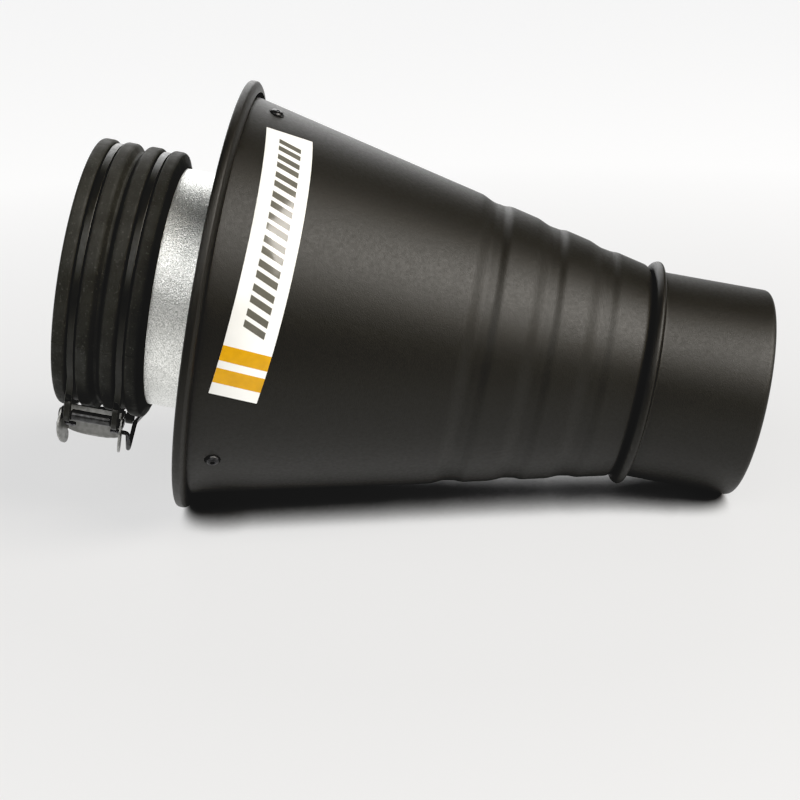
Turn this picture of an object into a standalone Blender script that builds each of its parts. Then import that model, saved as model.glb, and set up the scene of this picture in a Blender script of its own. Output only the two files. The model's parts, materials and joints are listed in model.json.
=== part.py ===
"""Conical studio snoot with a clamp-on rubber collar and a push-fit honeycomb nose.

The whole snoot is drawn about one axis: S runs from the lamp end towards the nose, and
every part is a child of the empty "snoot_axis", which lays it down on lip and nose.
Local X is S, local Z is up and local -Y is the side that carries the label.
"""

import math

import bmesh
import bpy
from mathutils import Matrix, Vector

MM = 0.001
SEGMENTS = 48                       # facets round the big turned parts
GAP = 0.3                           # clearance between parts that touch

# Cone shell: stations along the axis and outer radii, in millimetres.
LIP_S = 58.7
LIP_R = 94.4
CONE_START_S = 66.1
CONE_START_R = 87.2
CONE_END_S = 243.3
CONE_END_R = 46.7
CONE_TAN = 0.2246
WALL = 1.3
SPIGOT_R = 44.6
SPIGOT_END_S = 262.0

# Rubber collar and the clamp bands in its outer grooves.
LAMP_BORE_R = 50.0
COLLAR_R = 58.75
GROOVE_R = 56.3
BAND_R = 57.1                       # middle of the band's thickness
BAND_THICKNESS = 0.8
BAND_WIDTH = 3.3
REAR_BAND_S = 7.95
FRONT_BAND_S = 28.5
LATCH_S = 0.5 * (REAR_BAND_S + FRONT_BAND_S)

# Neck and back plate.
NECK_R = 52.2
NECK_BORE_R = 50.9
NECK_START_S = 24.0
PLATE_S = 60.4
PLATE_THICKNESS = 1.5
SKIRT_END_S = 82.0
RIVET_CIRCLE_R = 55.4

# Front cap and honeycomb.
CAP_START_S = 244.7
NOSE_S = 298.3
CAP_R = 46.2
CAP_BORE_R = 44.9
GRID_START_S = 265.5
GRID_END_S = 295.0
CELL_PITCH = 12.0
CELL_RINGS = 3

# Latch, as (y, z) in the collar's cross-section.
PIVOT = (-41.5, -52.2)
BAIL_PIVOT = (-35.0, -58.4)
CATCH = (-2.6, -62.2)
PIN_R = 1.5
EAR_INNER = 12.3                    # from the latch's middle plane
EAR_OUTER = 13.3
BAIL_LEG = 15.05
WIRE_R = 0.95

# Three screws hold the shell on the back plate's skirt; angles run from the top
# towards the label side.
SCREW_S = 74.1
SCREW_ANGLES = (7.5, 127.5, 247.5)

LABEL_LENGTH = 123.5
LABEL_WIDTH = 19.9
LABEL_MID_R = 82.8
LABEL_ANGLE = 61.25
LABEL_TILT = 1.0                # the strip is stuck on slightly askew


def clear_scene():
    for obj in list(bpy.data.objects):
        bpy.data.objects.remove(obj, do_unlink=True)


def make_material(name, color, roughness, metallic=0.0):
    material = bpy.data.materials.new(name)
    material.use_nodes = True
    shader = material.node_tree.nodes["Principled BSDF"]
    shader.inputs["Base Color"].default_value = (*color, 1.0)
    shader.inputs["Roughness"].default_value = roughness
    shader.inputs["Metallic"].default_value = metallic
    material.diffuse_color = (*color, 1.0)
    return material


def make_object(name, verts, faces, material, parent, origin=(0.0, 0.0, 0.0), smooth=False):
    """Mesh object from millimetre coordinates, with its origin at a millimetre point."""
    shift = Vector(origin)
    mesh = bpy.data.meshes.new(name)
    mesh.from_pydata([(Vector(v) - shift) * MM for v in verts], [], faces)
    bm = bmesh.new()
    bm.from_mesh(mesh)
    bmesh.ops.recalc_face_normals(bm, faces=bm.faces)
    bm.to_mesh(mesh)
    bm.free()
    for polygon in mesh.polygons:
        polygon.use_smooth = smooth
    if material is not None:
        mesh.materials.append(material)
    obj = bpy.data.objects.new(name, mesh)
    bpy.context.scene.collection.objects.link(obj)
    obj.parent = parent
    obj.location = shift * MM
    return obj


def cutter(name, parts, parent):
    """Hidden object that another part is cut with."""
    verts, faces = merge(parts)
    obj = make_object(name, verts, faces, None, parent)
    obj.hide_render = True
    obj.display_type = 'WIRE'
    return obj


def cut(obj, tool):
    modifier = obj.modifiers.new("cut_" + tool.name, 'BOOLEAN')
    modifier.operation = 'DIFFERENCE'
    modifier.solver = 'EXACT'
    modifier.object = tool


def merge(parts):
    """Joins separate (verts, faces) bodies into one list of each."""
    verts = []
    faces = []
    for part_verts, part_faces in parts:
        start = len(verts)
        verts.extend(part_verts)
        faces.extend(tuple(start + i for i in face) for face in part_faces)
    return verts, faces


def ring(profile, segments=SEGMENTS):
    """Closed (s, r) profile turned about the axis, with a flat at the very bottom.

    The facets touch the true circle from outside, so r is the distance to each flat.
    """
    reach = 1.0 / math.cos(math.pi / segments)
    verts = []
    for k in range(segments):
        angle = (k + 0.5) * 2.0 * math.pi / segments
        y = -math.sin(angle) * reach
        z = math.cos(angle) * reach
        verts.extend((s, r * y, r * z) for s, r in profile)
    count = len(profile)
    faces = []
    for k in range(segments):
        here = k * count
        there = ((k + 1) % segments) * count
        for i in range(count):
            j = (i + 1) % count
            faces.append((here + i, here + j, there + j, there + i))
    return verts, faces


def spindle(profile, matrix, segments=12):
    """Solid turned part: (height, radius) pairs from one end to the other."""
    verts = []
    for height, radius in profile:
        for k in range(segments):
            angle = 2.0 * math.pi * k / segments
            point = Vector((radius * math.cos(angle), radius * math.sin(angle), height))
            verts.append(matrix @ point)
    faces = [tuple(range(segments))]
    for level in range(len(profile) - 1):
        a = level * segments
        b = a + segments
        for k in range(segments):
            j = (k + 1) % segments
            faces.append((a + k, a + j, b + j, b + k))
    top = (len(profile) - 1) * segments
    faces.append(tuple(range(top, top + segments)))
    return verts, faces


def washer(inner, outer, low, high, matrix, segments=12):
    """Flat ring between two heights on its own axis."""
    verts = []
    for k in range(segments):
        angle = 2.0 * math.pi * k / segments
        for radius, height in ((inner, low), (outer, low), (outer, high), (inner, high)):
            point = Vector((radius * math.cos(angle), radius * math.sin(angle), height))
            verts.append(matrix @ point)
    faces = []
    for k in range(segments):
        here = 4 * k
        there = 4 * ((k + 1) % segments)
        for i in range(4):
            j = (i + 1) % 4
            faces.append((here + i, here + j, there + j, there + i))
    return verts, faces


def prism(outline, low, high):
    """(y, z) outline pushed along the axis from one station to another."""
    count = len(outline)
    verts = [(low, y, z) for y, z in outline] + [(high, y, z) for y, z in outline]
    faces = [tuple(range(count)), tuple(range(count, 2 * count))]
    for i in range(count):
        j = (i + 1) % count
        faces.append((i, j, count + j, count + i))
    return verts, faces


def strip(path, thickness, low, high):
    """Sheet metal of even thickness that follows a (y, z) path."""
    count = len(path)
    verts = []
    for i in range(count):
        before = Vector(path[max(i - 1, 0)])
        here = Vector(path[i])
        after = Vector(path[min(i + 1, count - 1)])
        along_in = (here - before).normalized() if i > 0 else (after - here).normalized()
        along_out = (after - here).normalized() if i < count - 1 else along_in
        along = (along_in + along_out).normalized()
        stretch = 1.0 / max(along.dot(along_in), 0.5)
        side = Vector((-along.y, along.x)) * 0.5 * thickness * stretch
        left = here + side
        right = here - side
        verts.extend([(low, *left), (high, *left), (high, *right), (low, *right)])
    faces = [(0, 1, 2, 3)]
    for i in range(count - 1):
        a = 4 * i
        b = a + 4
        for k in range(4):
            j = (k + 1) % 4
            faces.append((a + k, a + j, b + j, b + k))
    last = 4 * (count - 1)
    faces.append((last, last + 1, last + 2, last + 3))
    return verts, faces


def rounded(points, radii, steps=4):
    """Polyline with each inner corner replaced by an arc-like bend."""
    result = [Vector(points[0])]
    for i in range(1, len(points) - 1):
        corner = Vector(points[i])
        to_start = (Vector(points[i - 1]) - corner)
        to_end = (Vector(points[i + 1]) - corner)
        reach = min(radii[i], 0.45 * to_start.length, 0.45 * to_end.length)
        start = corner + to_start.normalized() * reach
        end = corner + to_end.normalized() * reach
        for k in range(steps + 1):
            t = k / steps
            result.append(start * (1 - t) ** 2 + corner * 2 * t * (1 - t) + end * t ** 2)
    result.append(Vector(points[-1]))
    return result


def wire(points, radius, sides=8):
    """Round wire along a 3-D path."""
    count = len(points)
    verts = []
    normal = None
    for i in range(count):
        before = points[max(i - 1, 0)]
        after = points[min(i + 1, count - 1)]
        along = (after - before).normalized()
        if normal is None:
            normal = along.orthogonal().normalized()
        normal = (normal - along * normal.dot(along)).normalized()
        other = along.cross(normal)
        for k in range(sides):
            angle = 2.0 * math.pi * k / sides
            verts.append(points[i] + radius * (normal * math.cos(angle) + other * math.sin(angle)))
    faces = [tuple(range(sides))]
    for i in range(count - 1):
        a = i * sides
        b = a + sides
        for k in range(sides):
            j = (k + 1) % sides
            faces.append((a + k, a + j, b + j, b + k))
    faces.append(tuple(range((count - 1) * sides, count * sides)))
    return verts, faces


def arc(center, radius, start_deg, end_deg, steps):
    """Points on a circle in the (y, z) plane; 0 degrees is +Y and 90 degrees is +Z."""
    points = []
    for k in range(steps + 1):
        angle = math.radians(start_deg + (end_deg - start_deg) * k / steps)
        points.append((center[0] + radius * math.cos(angle), center[1] + radius * math.sin(angle)))
    return points


def along_axis(y=0.0, z=0.0, s=0.0):
    """Frame whose own Z runs along the snoot, through a point."""
    return Matrix.Translation((s, y, z)) @ Matrix.Rotation(math.radians(90), 4, 'Y')


def surface_frame(s, radius, angle_deg, slope):
    """Frame on a turned surface: its own Z is the outward normal."""
    angle = math.radians(angle_deg)
    radial = Vector((0.0, -math.sin(angle), math.cos(angle)))
    normal = (radial + Vector((slope, 0.0, 0.0))).normalized()
    tangent = Vector((0.0, math.cos(angle), math.sin(angle)))
    forward = tangent.cross(normal)
    frame = Matrix((forward, tangent, normal)).transposed().to_4x4()
    point = radial * radius + Vector((s, 0.0, 0.0))
    return Matrix.Translation(point) @ frame


def cone_radius(s):
    return CONE_START_R - CONE_TAN * (s - CONE_START_S)


def cone_profile():
    """Outer skin from the spigot back to the curled lip, then the inner skin forward."""
    grooves = []
    for start, deepest, flat_end, end, depth in (
            (165.4, 172.2, 175.4, 180.4, 1.25),
            (191.0, 198.0, 201.2, 206.0, 1.10),
            (215.2, 222.0, 225.0, 230.0, 0.95)):
        grooves.append((start, cone_radius(start)))
        grooves.append((deepest, cone_radius(deepest) - depth))
        grooves.append((flat_end, cone_radius(flat_end) - 0.85 * depth))
        grooves.append((end, cone_radius(end)))
    skin = [(CONE_START_S, CONE_START_R)] + grooves + [(CONE_END_S, CONE_END_R)]
    outer = list(reversed(skin))
    lip = [(62.2, 88.1), (60.8, 88.9), (60.3, 90.4), (60.6, 92.3), (61.4, 92.9), (62.3, 92.2),
           (63.1, 90.2), (64.1, 90.3), (63.4, 92.5), (62.3, 94.0), (61.5, LIP_R),
           (60.0, LIP_R), (59.1, 94.0), (LIP_S, 93.0), (LIP_S, 88.2), (59.4, 86.9)]
    inner = [(s, r - WALL) for s, r in skin[:-1]]
    tail = [(CONE_END_S - 1.0, SPIGOT_R - WALL), (SPIGOT_END_S, SPIGOT_R - WALL),
            (SPIGOT_END_S, SPIGOT_R), (CONE_END_S + 0.6, SPIGOT_R)]
    return outer + lip + inner + tail


def collar_profile():
    """Four ridges, a V groove in the middle and a flat groove for each band."""
    top = COLLAR_R
    return [
        (0.0, 51.0), (0.0, 57.6), (0.3, 58.4), (1.1, top),
        (5.2, top), (5.8, 58.2), (6.0, 57.5), (6.0, GROOVE_R),
        (9.9, GROOVE_R), (9.9, 57.5), (10.1, 58.2), (10.7, top),
        (15.0, top), (15.7, 58.1), (17.3, 55.4), (18.8, 55.4), (20.4, 58.1), (21.1, top),
        (25.8, top), (26.3, 58.2), (26.5, 57.5), (26.5, GROOVE_R),
        (30.5, GROOVE_R), (30.5, 57.5), (30.7, 58.2), (31.3, top),
        (35.3, top), (36.1, 58.2), (38.0, 53.4), (38.0, NECK_R + GAP),
        (NECK_START_S - GAP, NECK_R + GAP), (NECK_START_S - GAP, LAMP_BORE_R),
        (1.0, LAMP_BORE_R)]


def build_shell(parent, black, screw_steel):
    cone = make_object("cone_shell", *ring(cone_profile()), black, parent, smooth=True)

    skirt_r = CONE_START_R - WALL - GAP
    skirt_end_r = skirt_r - CONE_TAN * (SKIRT_END_S - CONE_START_S)
    plate_profile = [
        (PLATE_S, NECK_R + GAP), (PLATE_S, 84.8), (61.4, 85.7), (CONE_START_S, skirt_r),
        (SKIRT_END_S, skirt_end_r), (SKIRT_END_S, skirt_end_r - 1.2),
        (CONE_START_S, skirt_r - 1.2), (62.8, 84.4),
        (PLATE_S + PLATE_THICKNESS, 83.4), (PLATE_S + PLATE_THICKNESS, NECK_R + GAP)]
    plate = make_object("back_plate", *ring(plate_profile), black, parent, smooth=True)

    frames = [surface_frame(SCREW_S, cone_radius(SCREW_S), angle, CONE_TAN)
              for angle in SCREW_ANGLES]
    holes = cutter("screw_hole_cutter",
                   [spindle([(-5.0, 1.85), (3.0, 1.85)], frame) for frame in frames], parent)
    cut(cone, holes)
    cut(plate, holes)

    screw = [(-6.8, 1.5), (0.3, 1.5), (0.3, 3.1), (1.0, 3.1), (1.6, 2.2)]
    for k, frame in enumerate(frames, start=1):
        make_object(f"shell_screw_{k}", *spindle(screw, frame), screw_steel, parent)
        make_object(f"shell_washer_{k}", *washer(1.8, 3.9, -3.7, -3.1, frame),
                    screw_steel, parent)
        make_object(f"shell_nut_{k}", *washer(1.8, 3.2, -6.4, -4.0, frame, segments=6),
                    screw_steel, parent)
    return plate


def build_neck(parent, plate, silver, rivet_metal):
    flange_s = PLATE_S + PLATE_THICKNESS + GAP
    neck_profile = [
        (NECK_START_S, NECK_BORE_R), (NECK_START_S, NECK_R), (flange_s, NECK_R),
        (flange_s, 58.2), (flange_s + 1.2, 58.2), (flange_s + 1.2, NECK_BORE_R)]
    neck = make_object("mount_neck", *ring(neck_profile), silver, parent, smooth=True)

    frames = []
    for k in range(6):
        angle = math.radians(30.0 + 60.0 * k)
        frames.append(along_axis(-RIVET_CIRCLE_R * math.sin(angle),
                                 RIVET_CIRCLE_R * math.cos(angle)))
    holes = cutter("rivet_hole_cutter",
                   [spindle([(PLATE_S - 2.0, 1.8), (flange_s + 3.0, 1.8)], frame)
                    for frame in frames], parent)
    cut(plate, holes)
    cut(neck, holes)
    rear = PLATE_S - GAP
    front = flange_s + 1.2 + GAP
    rivet = [(rear - 1.2, 1.2), (rear - 0.8, 2.1), (rear, 2.6), (rear, 1.5),
             (front, 1.5), (front, 2.4), (front + 0.9, 1.6)]
    for k, frame in enumerate(frames, start=1):
        make_object(f"neck_rivet_{k}", *spindle(rivet, frame), rivet_metal, parent)


def build_label(parent, vinyl):
    """Straight strip laid on the cone, so its long edges bow towards the nose."""
    slant = math.atan(CONE_TAN)
    apex_s = CONE_START_S + CONE_START_R / CONE_TAN
    middle = LABEL_MID_R / math.sin(slant)
    cosine = math.cos(math.radians(LABEL_TILT))
    sine = math.sin(math.radians(LABEL_TILT))
    steps = 18
    layers = []
    for lift in (0.35, 0.75):
        for i in range(steps + 1):
            down = LABEL_LENGTH * (i / steps - 0.5)
            for side in (-0.5 * LABEL_WIDTH, 0.5 * LABEL_WIDTH):
                along = down * cosine - side * sine
                across = side * cosine + down * sine
                distance = math.hypot(middle + across, along)
                angle = math.radians(LABEL_ANGLE) + math.atan2(along, middle + across) / math.sin(slant)
                radius = distance * math.sin(slant) + lift * math.cos(slant)
                s = apex_s - distance * math.cos(slant) + lift * math.sin(slant)
                layers.append((s, -radius * math.sin(angle), radius * math.cos(angle)))
    top = 2 * (steps + 1)
    faces = []
    for i in range(steps):
        a = 2 * i
        faces.append((a, a + 1, a + 3, a + 2))
        faces.append((top + a, top + a + 1, top + a + 3, top + a + 2))
        faces.append((a, a + 2, top + a + 2, top + a))
        faces.append((a + 1, a + 3, top + a + 3, top + a + 1))
    faces.append((0, 1, top + 1, top))
    last = 2 * steps
    faces.append((last, last + 1, top + last + 1, top + last))
    make_object("label_plate", layers, faces, vinyl, parent, smooth=True)


def build_cap(parent, black, rim_metal, foil):
    profile = [
        (CAP_START_S, CAP_BORE_R), (CAP_START_S, 47.0), (245.6, 48.9), (247.1, 50.0),
        (249.3, 50.0), (250.8, 48.8), (251.6, 46.9), (252.7, 45.9),
        (290.0, 46.15), (296.8, CAP_R), (297.9, 45.8), (NOSE_S, 44.7),
        (NOSE_S, 42.0), (297.3, 42.0), (296.8, 44.1), (296.2, CAP_BORE_R)]
    make_object("front_cap", *ring(profile), black, parent,
                origin=(CAP_START_S, 0.0, 0.0), smooth=True)

    rim = [(GRID_START_S - 1.0, 43.3), (GRID_START_S - 1.0, 44.5),
           (GRID_END_S + 0.9, 44.5), (GRID_END_S + 0.9, 43.3)]
    make_object("grid_rim", *ring(rim), rim_metal, parent,
                origin=(GRID_START_S, 0.0, 0.0), smooth=True)

    core = make_object("grid_core", *spindle([(GRID_START_S, 43.0), (GRID_END_S, 43.0)],
                                             along_axis(), segments=SEGMENTS), foil, parent)
    cells = []
    for row in range(-CELL_RINGS, CELL_RINGS + 1):
        count = 2 * CELL_RINGS + 1 - abs(row)
        for k in range(count):
            y = CELL_PITCH * (k - 0.5 * (count - 1))
            z = CELL_PITCH * row * math.sqrt(3.0) / 2.0
            corner = 0.5 * (CELL_PITCH - 1.2) / math.cos(math.radians(30))
            outline = arc((y, z), corner, 30.0, 330.0, 5)
            cells.append(prism(outline, GRID_START_S - 3.0, GRID_END_S + 3.0))
    cut(core, cutter("cell_cutter", cells, parent))


def band_path():
    """Curl round the pivot pin, over the top of the collar, curl round the catch pin."""
    curl = 2.2
    pivot_curl = arc(PIVOT, curl, 20.0, -180.0, 10)
    strap_y = PIVOT[0] - curl
    join = -math.degrees(math.acos(strap_y / BAND_R))
    catch_distance = math.hypot(*CATCH)
    catch_angle = math.degrees(math.atan2(CATCH[1], CATCH[0]))
    leave = catch_angle + math.degrees(math.acos((BAND_R - curl) / catch_distance))
    hoop = arc((0.0, 0.0), BAND_R, join - 7.0, leave - 360.0, 42)
    catch_curl = arc(CATCH, curl, leave, leave - 230.0, 10)
    return pivot_curl + [(strap_y, -42.0)] + hoop + catch_curl


def build_collar(parent, rubber, band_steel, pin_steel):
    make_object("rubber_collar", *ring(collar_profile()), rubber, parent, smooth=True)
    path = band_path()
    for name, s in (("rear_band", REAR_BAND_S), ("front_band", FRONT_BAND_S)):
        low = s - 0.5 * BAND_WIDTH
        make_object(name, *strip(path, BAND_THICKNESS, low, low + BAND_WIDTH), band_steel, parent)

    pin = [(-13.85, 1.9), (-13.6, 2.3), (-13.6, PIN_R), (13.6, PIN_R), (13.6, 2.3), (13.85, 1.9)]
    frame = along_axis(*PIVOT, LATCH_S)
    make_object("pivot_pin", *spindle(pin, frame), pin_steel, parent)
    strap_inner = 0.5 * (FRONT_BAND_S - REAR_BAND_S - BAND_WIDTH) - GAP
    make_object("pivot_spacer", *washer(1.8, 2.3, -strap_inner, strap_inner, frame, segments=16),
                pin_steel, parent)
    make_object("catch_pin", *spindle([(-12.2, PIN_R), (12.2, PIN_R)],
                                      along_axis(*CATCH, LATCH_S)), pin_steel, parent)
    hook_path = arc(CATCH, 2.25, -110.0, -360.0, 12) + [(CATCH[0] + 2.25, CATCH[1] - 4.6)]
    make_object("catch_hook", *strip(hook_path, 0.9, LATCH_S - 8.0, LATCH_S + 8.0),
                band_steel, parent)


def build_latch(parent, lever_steel, wire_steel):
    ear = [(-44.1, -52.6), (-43.2, -50.2), (-41.2, -49.3), (-36.0, -50.0), (-30.6, -50.9),
           (-30.2, -62.0), (-29.4, -66.0), (-29.8, -68.2), (-31.4, -69.2), (-33.8, -68.6),
           (-38.0, -66.4), (-43.0, -62.4), (-45.2, -58.6), (-45.4, -55.4)]
    pivot = (LATCH_S, *PIVOT)
    lever = make_object("latch_lever", *prism(ear, LATCH_S - EAR_OUTER, LATCH_S + EAR_OUTER),
                        lever_steel, parent, origin=pivot)
    low = LATCH_S - EAR_INNER
    high = LATCH_S + EAR_INNER
    between_ears = prism([(-60.0, -40.0), (-31.4, -40.0), (-31.4, -80.0), (-60.0, -80.0)], low, high)
    curve = [(low, -62.0), (LATCH_S - 6.0, -63.6), (LATCH_S + 6.0, -63.6), (high, -62.0)]
    outline = curve + [(high, -80.0), (low, -80.0)]
    count = len(outline)
    verts = [(s, y, z) for y in (-33.0, -25.0) for s, z in outline]
    faces = [tuple(range(count)), tuple(range(count, 2 * count))]
    faces += [(i, (i + 1) % count, count + (i + 1) % count, count + i) for i in range(count)]
    cut(lever, cutter("lever_channel_cutter", [between_ears], parent))
    cut(lever, cutter("lever_web_cutter", [(verts, faces)], parent))
    pin_hole = spindle([(-20.0, PIN_R + GAP), (20.0, PIN_R + GAP)], along_axis(*PIVOT, LATCH_S))
    wire_hole = spindle([(-20.0, WIRE_R + GAP), (20.0, WIRE_R + GAP)],
                        along_axis(*BAIL_PIVOT, LATCH_S))
    cut(lever, cutter("lever_hole_cutter", [pin_hole, wire_hole], parent))

    leg = [BAIL_PIVOT, (-27.5, -68.7), (-17.4, -58.9), (18.5, -63.1)]
    side = [(7.8, *BAIL_PIVOT)] + [(BAIL_LEG, y, z) for y, z in leg]
    points = [Vector((LATCH_S + s, y, z)) for s, y, z in side]
    points += [Vector((LATCH_S - s, y, z)) for s, y, z in reversed(side)]
    radii = [0.0, 1.4, 2.2, 2.0, 3.0]
    path = rounded(points, radii + list(reversed(radii)))
    bail_origin = (LATCH_S, *BAIL_PIVOT)
    bail = make_object("bail_wire", *wire(path, WIRE_R), wire_steel, lever,
                       origin=bail_origin, smooth=True)
    bail.location = (Vector(bail_origin) - Vector(pivot)) * MM


def lay_down(axis):
    """Tips the snoot onto its lip and nose, centred over the origin."""
    drop = LIP_R - CAP_R
    axis.rotation_euler = (0.0, math.atan2(drop, 296.8 - 61.5), 0.0)
    bpy.context.view_layer.update()
    low = Vector((math.inf,) * 3)
    high = Vector((-math.inf,) * 3)
    for obj in bpy.data.objects:
        if obj.type != 'MESH' or obj.hide_render:
            continue
        for vertex in obj.data.vertices:
            point = obj.matrix_world @ vertex.co
            low = Vector(map(min, low, point))
            high = Vector(map(max, high, point))
    axis.location = (-0.5 * (low.x + high.x), -0.5 * (low.y + high.y), -low.z)
    bpy.context.view_layer.update()


def main():
    clear_scene()
    axis = bpy.data.objects.new("snoot_axis", None)
    bpy.context.scene.collection.objects.link(axis)

    black = make_material("black_powder_coat", (0.022, 0.021, 0.020), 0.48)
    rubber = make_material("black_rubber", (0.030, 0.030, 0.029), 0.75)
    band_steel = make_material("band_steel", (0.10, 0.10, 0.105), 0.32, 0.85)
    pin_steel = make_material("pin_steel", (0.08, 0.08, 0.08), 0.38, 0.85)
    lever_steel = make_material("lever_steel", (0.38, 0.38, 0.37), 0.42, 0.80)
    wire_steel = make_material("wire_steel", (0.09, 0.09, 0.095), 0.35, 0.90)
    silver = make_material("silver_hammertone", (0.66, 0.67, 0.65), 0.45, 0.55)
    screw_steel = make_material("screw_steel", (0.06, 0.06, 0.06), 0.40, 0.80)
    vinyl = make_material("white_vinyl", (0.78, 0.78, 0.75), 0.45)
    foil = make_material("black_foil", (0.03, 0.03, 0.03), 0.50, 0.30)

    plate = build_shell(axis, black, screw_steel)
    build_neck(axis, plate, silver, screw_steel)
    build_label(axis, vinyl)
    build_collar(axis, rubber, band_steel, pin_steel)
    build_latch(axis, lever_steel, wire_steel)
    build_cap(axis, black, foil, foil)
    lay_down(axis)


main()
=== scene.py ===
"""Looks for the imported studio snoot: fine turned parts, latch, honeycomb, materials, studio.

Each visible piece is rebuilt in detail about the snoot's own axis, in millimetres: S runs
from the lamp end towards the nose, Z is up and -Y is the side with the label. AXIS then
carries it into the row frame. A piece rides on the CAD body of the nodes that it replaces.
"""

import json
import math

import bmesh
import bpy
from mathutils import Matrix, Vector
from mathutils.geometry import delaunay_2d_cdt


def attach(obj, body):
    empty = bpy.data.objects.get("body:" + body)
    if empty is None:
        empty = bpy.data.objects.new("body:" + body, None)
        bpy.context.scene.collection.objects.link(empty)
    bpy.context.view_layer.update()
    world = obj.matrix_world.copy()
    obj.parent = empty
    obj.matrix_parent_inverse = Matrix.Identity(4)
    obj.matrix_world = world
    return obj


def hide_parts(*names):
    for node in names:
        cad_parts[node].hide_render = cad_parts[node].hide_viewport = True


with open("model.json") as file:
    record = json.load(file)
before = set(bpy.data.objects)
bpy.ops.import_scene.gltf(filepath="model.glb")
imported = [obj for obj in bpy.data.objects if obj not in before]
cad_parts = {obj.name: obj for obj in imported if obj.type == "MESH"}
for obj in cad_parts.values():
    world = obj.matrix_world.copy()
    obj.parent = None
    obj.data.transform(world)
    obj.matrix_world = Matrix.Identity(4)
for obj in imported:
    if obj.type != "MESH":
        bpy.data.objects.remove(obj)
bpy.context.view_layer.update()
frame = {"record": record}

MM = 0.001
RING = 256                          # steps round the big turned parts

# Cone shell.
LIP_R = 94.34
CONE_START_S = 66.1
CONE_START_R = 87.2
CONE_END_S = 244.3
CONE_TAN = 0.2246
ROLL_START_S = 241.3
WALL = 1.3
SPIGOT_R = 44.6
SPIGOT_END_S = 262.0
HOOPS = (                           # start, deepest, end of the flat, end, depth
    (165.4, 172.2, 175.4, 180.4, 1.25),
    (191.0, 198.0, 201.2, 206.0, 1.10),
    (215.2, 222.0, 225.0, 230.0, 0.95))

# Rubber collar and clamp bands.
COLLAR_R = 58.75
GROOVE_R = 56.3
LAMP_BORE_R = 50.0
SEAM_ANGLES = (108.0, 288.0)
BAND_R = 57.1
BAND_WIDTH = 3.2
BAND_THICKNESS = 0.8
FOLD_WIDTH = BAND_WIDTH - 0.75      # narrow enough for the leaning ears to swing past
FOLD_THICKNESS = BAND_THICKNESS - 0.1
REAR_BAND_S = 7.95
FRONT_BAND_S = 28.5
LATCH_S = 0.5 * (REAR_BAND_S + FRONT_BAND_S)

# Neck and back plate.
NECK_R = 52.2
NECK_BORE_R = 50.9
NECK_START_S = 24.0
PLATE_S = 60.4
PLATE_THICKNESS = 1.5
SKIRT_END_S = 82.0
FLANGE_S = 62.2
RIVET_CIRCLE_R = 55.4

# Front cap and honeycomb.
CAP_START_S = 244.7
NOSE_S = 298.3
CAP_R = 46.2
CAP_BORE_R = 44.9
GRID_START_S = 265.5
GRID_END_S = 295.0
GRID_R = 43.0
CELL_PITCH = 5.2
FOIL = 0.28
DISC_SIDES = 120                    # straight sides that stand for the honeycomb's round edge

# Latch, as (y, z) in the collar's cross-section.
PIVOT = (-41.5, -52.2)
BAIL_PIVOT = (-35.0, -58.4)
CATCH = (-2.6, -62.2)
PIN_R = 1.5
EAR_INNER = 12.75
EAR_OUTER = 13.7
EAR_FRONT_Y = -45.4
EAR_SPLAY = 0.11
BAIL_LEG = 15.05
WIRE_R = 0.95
STRAP_Y = PIVOT[0] - 2.2
FOLD_TOP_Z = -45.6

# Screws in the shell and the label.
SCREW_S = 74.1
SCREW_ANGLES = (7.5, 127.5, 247.5)
LABEL_LENGTH = 123.5
LABEL_WIDTH = 19.9
LABEL_MID_R = 82.8
LABEL_ANGLE = 61.25
LABEL_TILT = 1.0

# Camera and light.
CAMERA_AT = (0.0265, -0.7313, 0.2573)
LOOK_AT = (0.0079, 0.0, 0.0133)
CAMERA_ROLL = -1.22
LENS = 76.39
CAMERA_SHIFT = (-0.0449, 0.0804)
LIGHT_MIDDLE = (0.0, 0.0, 0.09)
FLOOR_HALF = 12.0
FLOOR_Z = -0.0002
# Painted light: the floor glows by itself, and the glow is dimmer near the snoot, which is painted shade.
GLOW_REACH = (0.2, 1.0)             # distances between which the floor's own light grows
FLOOR_NEAR = 0.63
FLOOR_FAR = 0.85
# Painted light on the snoot: the floor's glow as seen by every ray but the camera's, set by position
# along Y.
BOUNCE_Y = (-0.45, -0.20)           # between these the floor's light on the snoot sets in
BOUNCE_GAIN = 1.5
# Painted shadow: the floor's glow is darkened where it is occluded under the snoot.
CREASE_REACH = 0.028
CREASE_OPEN = (0.21, 0.54)          # openness at which the floor is dark, and is fully lit
ROOM_LIGHT = 0.05
BACKDROP_LIGHT = 0.95
TONE_CURVE = (                      # scene brightness, printed brightness
    (0.0, 0.0075), (0.022, 0.0085), (0.036, 0.0120), (0.05, 0.0240), (0.10, 0.0775),
    (0.30, 0.2835))


def snoot_axis(mounts):
    """The matrix from the snoot's own frame to the row frame, from the record's two faces."""
    faces = {mount["name"]: mount for mount in mounts}
    rear = Vector(faces["collar_rear_face"]["pos_m"])
    tilt = math.asin(-faces["nose_front_face"]["axis"][2])
    return Matrix.Translation((rear.x, 0.0, rear.z)) @ Matrix.Rotation(tilt, 4, 'Y')


AXIS = snoot_axis(frame["record"]["mounts"])


# ---------------------------------------------------------------- mesh building

def merge(parts):
    verts = []
    faces = []
    for part_verts, part_faces in parts:
        start = len(verts)
        verts.extend(part_verts)
        faces.extend(tuple(start + i for i in face) for face in part_faces)
    return verts, faces


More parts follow.
